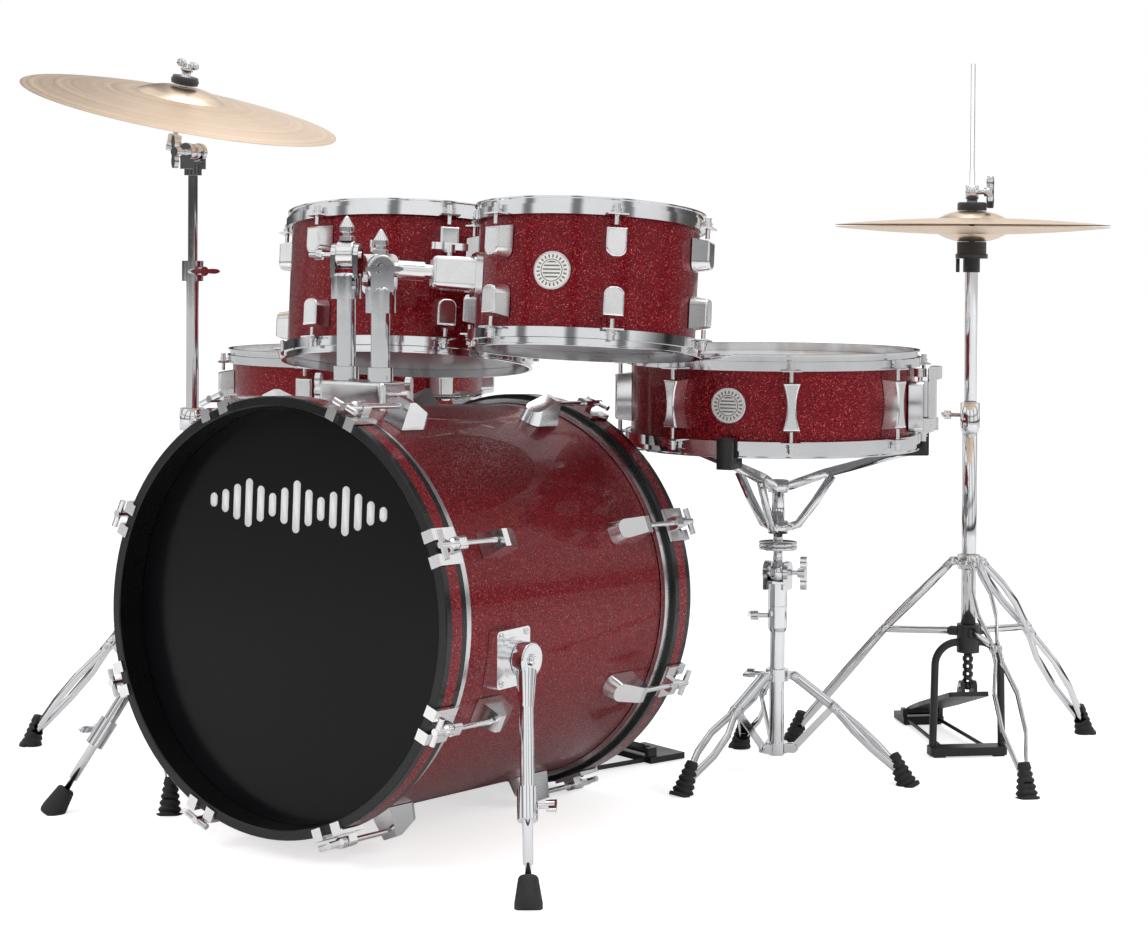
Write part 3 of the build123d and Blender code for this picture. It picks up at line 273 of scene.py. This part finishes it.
def black_metal():
    s = Shader("black_metal")
    return s.set(
        Base_Color=s.mix(s.ramp(wear(s), 0.4, 0.8), (0.012, 0.012, 0.013), (0.03, 0.03, 0.032)),
        Roughness=s.ramp(wear(s, 30.0), 0.3, 0.7, 0.32, 0.5),
        Normal=s.bump(s.noise(1500.0, 2.0), 0.00006, 0.5),
        Coat_Weight=0.15,
        Coat_Roughness=0.3,
    )


def rubber():
    s = Shader("rubber")
    return s.set(
        Base_Color=s.mix(s.noise(60.0, 4.0), (0.010, 0.010, 0.011), (0.026, 0.026, 0.027)),
        Roughness=s.ramp(s.noise(90.0), 0.3, 0.7, 0.5, 0.7),
        Normal=s.bump(s.noise(1200.0, 3.0), 0.00008, 0.6),
    )


def felt(name="felt", low=(0.012, 0.012, 0.014), high=(0.05, 0.05, 0.055)):
    s = Shader(name)
    fibre = s.noise(1800.0, 4.0, 0.7)
    return s.set(
        Base_Color=s.mix(fibre, low, high),
        Roughness=0.95,
        Sheen_Weight=0.4,
        Normal=s.bump(fibre, 0.0005, 0.7),
    )


def cymbal(name, origin, axis, bell):
    """Lathed bronze: fine grooves, broader tonal bands, and a smoother bell."""
    s = Shader(name)
    radius = s.axial(origin, axis)[1]
    rings = s.node("CombineXYZ", i0=radius)
    groove = s.noise(1400.0, 1.0, place=rings)
    band = s.noise(120.0, 4.0, 0.7, place=rings)
    patch = s.noise(9.0, 4.0, 0.6)
    on_bow = s.ramp(radius, bell * 0.9, bell * 1.1)
    colour = s.mix(s.ramp(band, 0.3, 0.7), (0.80, 0.60, 0.44), (1.0, 0.83, 0.66))
    stain = s.math("MULTIPLY", s.ramp(patch, 0.45, 0.75), 0.35)
    return s.set(
        Base_Color=s.mix(stain, colour, (0.68, 0.51, 0.36)),
        Metallic=1.0,
        Roughness=s.blend(on_bow, 0.28, s.ramp(band, 0.3, 0.7, 0.34, 0.46)),
        Normal=s.bump(s.math("MULTIPLY", groove, on_bow), 0.00035, 0.55),
    )


def bass_hoop():
    """Black lacquer with a band of sparkle wrap let into the outside."""
    s = Shader("bass_hoop")
    height, radius = s.axial(bass, BASS_AXIS)
    across = s.within(s.math("ABSOLUTE", height), HOOP_CENTRE, HOOP_INLAY_HALF)
    inlay = s.math("MULTIPLY", across, s.math("GREATER_THAN", radius, HOOP_INLAY_RADIUS))
    colour, tilted = flakes(s, *WRAP)
    plain = s.node("NewGeometry", "Normal")
    black = s.mix(s.noise(25.0, 4.0), (0.004, 0.004, 0.005), (0.008, 0.008, 0.009))
    return s.set(
        Base_Color=s.mix(inlay, black, colour),
        Metallic=s.math("MULTIPLY", inlay, 0.55),
        Roughness=s.ramp(wear(s), 0.3, 0.7, 0.22, 0.36),
        Normal=s.node("Mix", 1, {"data_type": "VECTOR"}, i0=inlay, i4=plain, i5=tilted),
        Specular_IOR_Level=0.3,
        Coat_Weight=0.35,
        Coat_Roughness=0.06,
    )


def drum_head(name, origin, axis, radius, front, back):
    """Film of one colour at each end of the drum, clinched in an aluminium flesh hoop."""
    s = Shader(name)
    height, distance = s.axial(origin, axis)
    rim = s.math("GREATER_THAN", distance, radius + FLESH_HOOP_GAP)
    ahead = s.math("GREATER_THAN", height, 0.0)
    mottle = s.noise(260.0, 5.0, 0.7)
    fleck = s.mix(ahead, (0.4, 0.4, 0.4), tuple(c * 2 for c in front))
    film = s.mix(s.math("MULTIPLY", mottle, 0.10), s.mix(ahead, back, front), fleck)
    return s.set(
        Base_Color=s.mix(rim, film, (0.74, 0.75, 0.76)),
        Metallic=rim,
        Roughness=s.blend(rim, s.ramp(wear(s, 5.0), 0.3, 0.7, 0.16, 0.24), 0.22),
        Specular_IOR_Level=0.18,
        Normal=s.bump(mottle, 0.00002, 0.2),
    )


def steel_wire():
    s = Shader("steel_wire")
    return s.set(
        Base_Color=s.mix(s.noise(200.0), (0.45, 0.45, 0.46), (0.62, 0.62, 0.63)),
        Metallic=1.0,
        Roughness=s.ramp(s.noise(700.0), 0.3, 0.7, 0.2, 0.4),
        Normal=s.bump(s.noise(2500.0), 0.0001, 0.5),
    )


def badge_face():
    """White enamel ring with small dark dashes, round a plain barred middle."""
    s = Shader("badge_face")
    across = s.node("SeparateXYZ", 0, Vector=s.place)
    along = s.node("SeparateXYZ", 1, Vector=s.place)
    radius = s.vector("LENGTH", s.node("CombineXYZ", i0=across, i1=along), output=1)
    dashes = s.stripes(s.math("ARCTAN2", along, across), 22.0, 0.35)
    dashes = s.math("MULTIPLY", dashes, s.within(radius, 0.0158, 0.0019))
    bars = s.math("MULTIPLY", s.math("LESS_THAN", radius, 0.0105), s.stripes(along, 1500.0, 0.25))
    ink = s.math("MAXIMUM", s.math("MAXIMUM", dashes, bars), s.within(radius, 0.0122, 0.0005))
    rim = s.math("GREATER_THAN", radius, 0.0196)
    enamel = s.mix(s.noise(300.0), (0.74, 0.73, 0.70), (0.82, 0.81, 0.78))
    printed = s.mix(s.math("MULTIPLY", ink, 0.85), enamel, (0.03, 0.03, 0.03))
    return s.set(
        Base_Color=s.mix(rim, printed, (0.75, 0.76, 0.78)),
        Metallic=rim,
        Roughness=s.ramp(wear(s), 0.3, 0.7, 0.2, 0.34),
        Coat_Weight=0.4,
    )


def print_white():
    s = Shader("print_white")
    return s.set(
        Base_Color=s.mix(s.noise(90.0, 4.0), (0.80, 0.80, 0.79), (0.90, 0.90, 0.89)),
        Roughness=s.ramp(s.noise(400.0), 0.3, 0.7, 0.35, 0.5),
        Normal=s.bump(s.noise(900.0), 0.00004, 0.3),
    )


CHROME = chrome()
CAST = chrome("cast_chrome", (0.93, 0.93, 0.94), (0.13, 0.24))
RED_SPARKLE = red_sparkle()
BLACK = black_metal()
RUBBER = rubber()
FELT = felt()
BEATER_FELT = felt("beater_felt", (0.32, 0.31, 0.29), (0.55, 0.53, 0.50))
WIRE = steel_wire()

# ------------------------------------------------------------------ carried-over CAD nodes


def dress(material, *names):
    """One material over each CAD node's own object."""
    for name in names:
        data = nodes[name].data
        data.materials.clear()
        data.materials.append(material)


dress(CHROME, *nodes)
dress(RED_SPARKLE, *(f"{drum}_shell" for drum in ("bass", *TOM_AXIS)))
dress(drum_head("bass_film", bass, BASS_AXIS, BASS_R, INK, WHITE), "bass_heads")
for drum, axis in TOM_AXIS.items():
    film = drum_head(f"{drum}_film", middle(f"{drum}_shell"), axis, TOM_R[drum], WHITE, CLEAR)
    dress(film, f"{drum}_heads")
dress(bass_hoop(), "bass_hoops")
dress(cymbal("crash_bronze", crash_pin, CRASH_AXIS, 0.058), "crash_cymbal")
for name in ("hihat_top_cymbal", "hihat_bottom_cymbal"):
    dress(cymbal(f"{name}_bronze", hat, UP, 0.052), name)
dress(BLACK, "hihat_base", "hihat_pedal", "kick_pedal_frame", "kick_pedal_board")
dress(WIRE, "snare_wires")
dress(CAST, *(f"{drum}_lugs" for drum in ("bass", *TOM_AXIS)))
dress(CAST, "bass_claws", "tom_mount", "spur_brackets", "snare_strainer", "small_tom_arm", "large_tom_arm")

# ------------------------------------------------------------------ nodes of more than one material


def islands(mesh):
    """The separate solids of a bmesh, as sets of faces."""
    seen = set()
    for start in mesh.faces:
        if start in seen:
            continue
        group, queue = {start}, [start]
        while queue:
            for edge in queue.pop().edges:
                fresh = [face for face in edge.link_faces if face not in group]
                group.update(fresh)
                queue.extend(fresh)
        seen |= group
        yield group


def copied(faces):
    """New bmesh with a copy of some faces of another."""
    part = bmesh.new()
    copies = {}
    for face in faces:
        for v in face.verts:
            if v not in copies:
                copies[v] = part.verts.new(v.co)
        part.faces.new([copies[v] for v in face.verts])
    return part


def finish_mesh(mesh, name, material, smooth=35.0):
    """Object from a bmesh, shaded smooth except across edges sharper than some degrees."""
    data = bpy.data.meshes.new(name)
    for face in mesh.faces:
        face.smooth = True
    for edge in mesh.edges:
        if len(edge.link_faces) == 2 and edge.calc_face_angle(0) > math.radians(smooth):
            edge.smooth = False
    mesh.to_mesh(data)
    mesh.free()
    data.materials.append(material)
    made = bpy.data.objects.new(name, data)
    scene.collection.objects.link(made)
    return made


def rebuild(name, choose):
    """Rebuild a CAD node as one piece per material, which choose(centre, low, high) names for a face.

    Centre is the face's, and low and high are the corners of the solid that it is on.
    """
    whole = bmesh.new()
    whole.from_mesh(nodes[name].data)
    bmesh.ops.remove_doubles(whole, verts=whole.verts, dist=1e-6)
    chosen = {}
    for group in islands(whole):
        points = [v.co for face in group for v in face.verts]
        low = Vector([min(p[i] for p in points) for i in range(3)])
        high = Vector([max(p[i] for p in points) for i in range(3)])
        for face in sorted(group, key=lambda f: f.index):
            chosen.setdefault(choose(face.calc_center_median(), low, high), []).append(face)
    for material, faces in chosen.items():
        piece = finish_mesh(copied(faces), f"{name}_{material.name}", material)
        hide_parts(name)
        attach(piece, body_of[name])
    whole.free()


# Limits, in metres, that tell one material's faces from another's in the nodes below.
FOOT_BOTTOM, FOOT_TOP = 0.004, 0.062
FLOOR_TOM_FOOT_TOP = 0.046
GRIP_REACH = 0.160
CLUTCH_FELT_FOOT, CLUTCH_FELT_HEIGHT, CLUTCH_FELT_BORE = -0.0002, 0.0118, 0.0068
CHAIN_TOP, PULL_ROD_REACH = 0.150, 0.0033
SEAT_FELT_DEPTH, SEAT_CUP_DEPTH, SEAT_CUP_BORE = 0.0165, 0.041, 0.0087
TILTER_FELTS = ((0.0175, 0.0265), (0.033, 0.0435))
TILTER_FELT_BORE = 0.0062
BEATER_HEIGHT = 0.060


def off_axis(point, place):
    """Level distance of a point from an upright axis through a place."""
    return math.hypot(point.x - place.x, point.y - place.y)


def feet(centre, low, high):
    return RUBBER if low.z < FOOT_BOTTOM and high.z < FOOT_TOP else CHROME


def floor_tom_feet(centre, low, high):
    return RUBBER if centre.z < FLOOR_TOM_FOOT_TOP else CHROME


def basket(centre, low, high):
    return RUBBER if off_axis(centre, middle("snare_shell")) > GRIP_REACH else CHROME


def clutch(centre, low, high):
    rise = centre.z - corners("hihat_top_cymbal")[1].z
    away = off_axis(centre, hat)
    if CLUTCH_FELT_FOOT < rise < CLUTCH_FELT_HEIGHT and away > CLUTCH_FELT_BORE:
        return FELT
    return BLACK if centre.z < CHAIN_TOP and away > PULL_ROD_REACH else CHROME


def seat(centre, low, high):
    drop = corners("hihat_height_tube")[1].z - centre.z
    if drop < SEAT_FELT_DEPTH:
        return FELT
    return BLACK if drop < SEAT_CUP_DEPTH and off_axis(centre, hat) > SEAT_CUP_BORE else CHROME


def tilter(centre, low, high):
    offset = centre - crash_pin
    height = offset.dot(CRASH_AXIS)
    away = (offset - CRASH_AXIS * height).length
    level = any(bottom < height < top for bottom, top in TILTER_FELTS)
    return FELT if level and away > TILTER_FELT_BORE else CHROME


def beater(centre, low, high):
    return BEATER_FELT if centre.z > corners("kick_pedal_beater")[1].z - BEATER_HEIGHT else CHROME


for name in ("hihat_tripod", "cymbal_stand_base", "right_spur_foot", "left_spur_foot",
             "snare_stand_leg_1", "snare_stand_leg_2", "snare_stand_leg_3"):
    rebuild(name, feet)
rebuild("floor_tom_legs", floor_tom_feet)
rebuild("snare_basket", basket)
rebuild("hihat_pull_rod", clutch)
rebuild("hihat_height_tube", seat)
rebuild("cymbal_tilter", tilter)
rebuild("kick_pedal_beater", beater)

# ------------------------------------------------------------------ badges, mark, screws and toe clamp

BADGE = badge_face()
BADGE_SIDES = 48
# Radius of each ring of the badge, and its rise above the shell.
BADGE_RINGS = (
    (0.0215, 0.0002),
    (0.0215, 0.0013),
    (0.0206, 0.0017),
    (0.0196, 0.0013),
    (0.0150, 0.0016),
    (0.0100, 0.0018),
    (0.0050, 0.0019),
)
MARK_HEIGHTS_MM = (16, 26, 40, 54, 40, 26, 40, 58, 40, 26, 40, 54, 40, 26, 16)
MARK_PITCH, MARK_HALF_WIDTH, MARK_THICKNESS = 0.0175, 0.0052, 0.00035
MARK_AHEAD, MARK_ABOVE = 0.2042, 0.118
# Turned outlines, as (radius, height) points.
SCREW = ((0.0036, 0.0), (0.0036, 0.0008), (0.0030, 0.0018), (0.0018, 0.0024), (0.0009, 0.0020))
SWIVEL = ((0.0035, 0.0970), (0.0035, 0.0945), (0.0050, 0.0930), (0.0050, 0.0892), (0.0025, 0.0873))
# Outline of a toe clamp's ear, as (distance towards the toe, height) points.
EAR = ((-0.014, 0.076), (0.008, 0.082), (0.008, 0.092), (0.004, 0.099), (-0.004, 0.099), (-0.010, 0.092))
EAR_INNER, EAR_OUTER = 0.0058, 0.0108
EAR_BOLT_REACH, EAR_BOLT_HEIGHT = 0.0106, 0.0925
SPUR_SCREW_REACH, SPUR_SCREW_Y, SPUR_SCREW_Z = 0.2401, 0.0225, 0.0255


def around(sides, offset=0.0):
    """Angles of evenly spaced points round a circle."""
    return [2 * math.pi * (k + offset) / sides for k in range(sides)]


def turned_skin(mesh, rows):
    """Faces between rows of points round an axis, and one over the last row."""
    for first, second in zip(rows, rows[1:]):
        for k in range(len(first)):
            after = (k + 1) % len(first)
            mesh.faces.new((first[k], first[after], second[after], second[k]))
    mesh.faces.new(rows[-1])


def badge(drum, turn):
    """Domed disc laid on the curve of the shell, turned about the drum's axis from +X."""
    axis, shell = TOM_AXIS[drum], TOM_R[drum]
    out = Vector((math.cos(math.radians(turn)), math.sin(math.radians(turn)), 0))
    out = (out - axis * out.dot(axis)).normalized()
    mesh = bmesh.new()
    rows = []
    for radius, rise in BADGE_RINGS:
        row = []
        for a in around(BADGE_SIDES):
            bend = radius * math.cos(a) / shell
            lift = (shell + rise) * math.cos(bend) - shell
            row.append(mesh.verts.new(((shell + rise) * math.sin(bend), radius * math.sin(a), lift)))
        rows.append(row)
    turned_skin(mesh, rows)
    made = finish_mesh(mesh, f"{drum}_badge", BADGE, 30)
    facing = Matrix((axis.cross(out), axis, out)).transposed().to_4x4()
    made.matrix_world = Matrix.Translation(middle(f"{drum}_shell") + out * shell) @ facing
    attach(made, drum)


def lathe(name, profile, place, axis, material, sides=24):
    """Surface turned from (radius, height) points about an axis at a place."""
    mesh = bmesh.new()
    turned_skin(mesh, [[mesh.verts.new((r * math.cos(a), r * math.sin(a), h)) for a in around(sides)]
                       for r, h in profile])
    made = finish_mesh(mesh, name, material)
    made.rotation_mode = "QUATERNION"
    made.rotation_quaternion = Vector(axis).to_track_quat("Z", "Y")
    made.location = place
    return made


def slab(mesh, back, front):
    """Walls and front face between two copies of an outline."""
    for k in range(len(back)):
        mesh.faces.new((back[k - 1], back[k], front[k], front[k - 1]))
    mesh.faces.new(front)


def head_mark():
    """Row of upright round-ended bars of changing height on the upper part of the front film."""
    mesh = bmesh.new()
    for step, height in enumerate(MARK_HEIGHTS_MM):
        x = (step - (len(MARK_HEIGHTS_MM) - 1) / 2) * MARK_PITCH
        reach = height / 2000
        outline = []
        for a in around(16, 0.5):
            lift = reach - MARK_HALF_WIDTH if math.sin(a) > 0 else MARK_HALF_WIDTH - reach
            outline.append((x + MARK_HALF_WIDTH * math.cos(a), lift + MARK_HALF_WIDTH * math.sin(a)))
        flat = [mesh.verts.new((*point, 0)) for point in outline]
        slab(mesh, flat, [mesh.verts.new((*point, MARK_THICKNESS)) for point in outline])
    made = finish_mesh(mesh, "bass_head_mark", print_white())
    place = bass + BASS_AXIS * MARK_AHEAD + BASS_UP * MARK_ABOVE
    facing = Matrix((Vector((1, 0, 0)), BASS_UP, BASS_AXIS)).transposed().to_4x4()
    made.matrix_world = Matrix.Translation(place) @ facing
    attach(made, "kit")


def spur_screws():
    """A screw at each corner of both spur plates."""
    plate = middle("spur_brackets")
    for side in (-1, 1):
        for up in (-1, 1):
            for ahead in (-1, 1):
                place = Vector((bass.x + side * SPUR_SCREW_REACH, plate.y + ahead * SPUR_SCREW_Y,
                                plate.z + up * SPUR_SCREW_Z))
                name = f"spur_screw_{side + 2}_{up + 2}_{ahead + 2}"
                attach(lathe(name, SCREW, place, (side, 0, 0), CHROME), "kit")


def toe_clamp():
    """Two bolted ears on the hi-hat footboard, and the swivel that brings the chain down between them."""
    hinge = pivot("hihat_pedal_lift")
    toe = Vector((hat.x - hinge.x, hat.y - hinge.y, 0)).normalized()
    side = UP.cross(toe)
    rod = Vector((hat.x, hat.y, 0))
    for hand in (-1, 1):
        mesh = bmesh.new()
        inner, outer = ([mesh.verts.new(rod + toe * x + side * hand * reach + UP * z) for x, z in EAR]
                        for reach in (EAR_INNER, EAR_OUTER))
        slab(mesh, inner, outer)
        mesh.faces.new(inner)
        bmesh.ops.recalc_face_normals(mesh, faces=mesh.faces)
        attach(finish_mesh(mesh, f"toe_clamp_ear_{hand + 2}", BLACK), body_of["hihat_pedal"])
        head = rod + side * hand * EAR_BOLT_REACH + UP * EAR_BOLT_HEIGHT
        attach(lathe(f"toe_clamp_bolt_{hand + 2}", SCREW, head, side * hand, CHROME), body_of["hihat_pedal"])
    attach(lathe("chain_swivel", SWIVEL, rod, UP, BLACK), body_of["hihat_pull_rod"])


badge("small_tom", -74)
badge("large_tom", -69)
badge("snare", -77.5)
head_mark()
spur_screws()
toe_clamp()

# ------------------------------------------------------------------ floor and light


def floor():
    data = bpy.data.meshes.new("floor")
    data.from_pydata([(-30, -30, 0), (30, -30, 0), (30, 30, 0), (-30, 30, 0)], [], [(0, 1, 2, 3)])
    made = bpy.data.objects.new("floor", data)
    scene.collection.objects.link(made)
    s = Shader("floor")
    seen = s.node("LightPath", "Is Camera Ray")
    away = s.ramp(s.vector("LENGTH", s.place, output=1), 0.6, 1.5)
    pale = s.mix(s.noise(1.5, 2.0), (0.80, 0.80, 0.80), (0.84, 0.84, 0.84))
    data.materials.append(s.set(
        Base_Color=s.mix(s.math("MULTIPLY", seen, away), pale, (0.0, 0.0, 0.0)),
        Roughness=0.6,
        Specular_IOR_Level=0.1,
        Emission_Color=(1.0, 1.0, 1.0),
        Emission_Strength=s.math("MULTIPLY", seen, s.blend(away, 0.62, 1.1)),
    ))


# Grey of the room from straight down, at 0, to straight up, at 1.
ROOM_GREYS = (
    (0.0, 0.4),
    (0.475, 0.75),
    (0.495, 0.06),
    (0.53, 0.10),
    (0.56, 0.85),
    (0.68, 0.95),
    (0.72, 0.35),
    (0.78, 1.0),
    (1.0, 1.0),
)
PANEL_COUNT, PANEL_TURN = 7.0, 0.6


def studio():
    """White to the camera; to everything else a bright room with dark gaps between its panels."""
    scene.world = bpy.data.worlds.new("studio")
    scene.world.use_nodes = True
    s = Nodes(scene.world.node_tree)
    x, y, z = s.add("SeparateXYZ", i0=s.node("TexCoord", "Generated")).outputs
    room = s.add("ValToRGB", i0=s.scaled_sum(z, 0.5, 0.5))
    stops = room.color_ramp.elements
    stops[0].color, stops[-1].color = [(grey, grey, grey, 1) for _, grey in (ROOM_GREYS[0], ROOM_GREYS[-1])]
    for position, grey in ROOM_GREYS[1:-1]:
        stops.new(position).color = (grey, grey, grey, 1)
    turn = s.math("ARCTAN2", y, x)
    wave = s.math("SINE", s.scaled_sum(turn, PANEL_COUNT, PANEL_TURN))
    panels = s.ramp(wave, -0.95, -0.62, 0.22, 0.95)
    lit = s.node("Background", i0=room.outputs[0], i1=panels)
    plain = s.node("Background", i0=(1, 1, 1), i1=1.0)
    s.add("OutputWorld", i0=s.node("MixShader", i0=s.node("LightPath", "Is Camera Ray"), i1=lit, i2=plain))


def softbox(name, position, width, height, power, mirrored=False):
    data = bpy.data.lights.new(name, "AREA")
    data.shape = "RECTANGLE"
    data.size, data.size_y = width, height
    data.energy = power
    made = bpy.data.objects.new(name, data)
    made.location = position
    made.visible_glossy = mirrored
    made.rotation_mode = "QUATERNION"
    made.rotation_quaternion = (Vector(position) - Vector((0, 0, 0.4))).to_track_quat("Z", "Y")
    scene.collection.objects.link(made)


floor()
studio()
softbox("key", (-1.4, -3.4, 2.4), 1.6, 1.4, 52)
softbox("side", (3.6, 0.4, 2.0), 1.0, 1.8, 36)
softbox("top", (0.2, 0.4, 3.4), 2.2, 1.6, 26, mirrored=True)
scene.view_settings.view_transform = "Standard"
